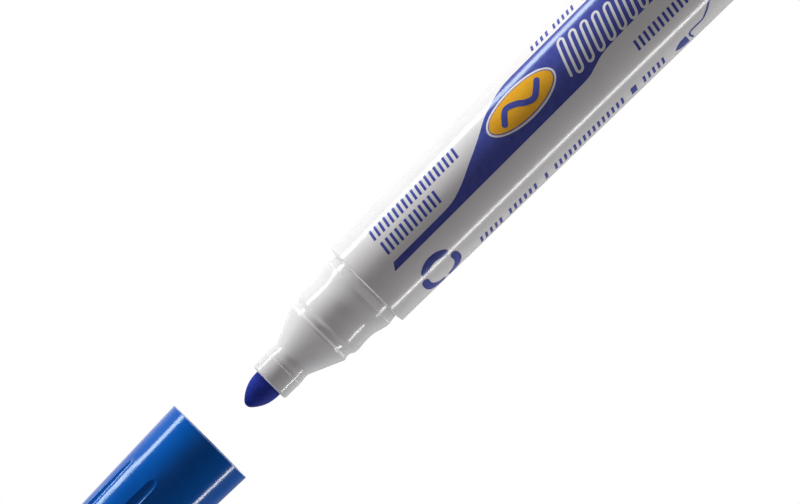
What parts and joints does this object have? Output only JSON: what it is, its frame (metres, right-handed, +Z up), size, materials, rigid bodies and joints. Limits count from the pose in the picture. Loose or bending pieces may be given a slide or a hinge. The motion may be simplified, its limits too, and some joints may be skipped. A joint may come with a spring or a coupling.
{
  "type": "felt tip marker",
  "caption": "Uncapped bullet-tip whiteboard marker: white tapered barrel and stepped nose, blue fibre nib, and a blue fluted pull-off cap lying in line in front.",
  "frame": {"origin": "on the table, under the marker's axis, half way between the cap's closed end and the end of the rear boss", "axes": "+X along the axis from the cap and nib towards the barrel's rear; +Z up from the table"},
  "size_m": [0.1694, 0.018, 0.0179],
  "materials": {
    "white_plastic": "glossy moulded polypropylene",
    "blue_plastic": "glossy moulded polypropylene",
    "liner_plastic": "natural soft polyethylene",
    "nib_fibre": "ink-soaked pressed fibre",
    "reservoir_fibre": "ink-soaked fibre bundle",
    "film": "thin clear film",
    "print_blue": "printed ink",
    "print_white": "printed ink",
    "print_amber": "printed ink"
  },
  "bodies": {
    "marker": {"barrel": "white_plastic", "nose_section": "white_plastic", "nib": "nib_fibre", "ink_reservoir": "reservoir_fibre", "reservoir_wrap": "film", "end_plug": "blue_plastic"},
    "cap_carrier": {"cap_liner": "liner_plastic"},
    "cap": {"cap_shell": "blue_plastic"}
  },
  "joints": [
    {"name": "cap_slide", "type": "slide", "parent": "marker", "child": "cap_carrier", "axis": [1, 0, 0], "range_m": [0, 0.0324]},
    {"name": "cap_turn", "type": "hinge", "parent": "cap_carrier", "child": "cap", "pos_m": [-0.06125, 0, 0.00896], "axis": [1, 0, 0], "continuous": true}
  ]
}
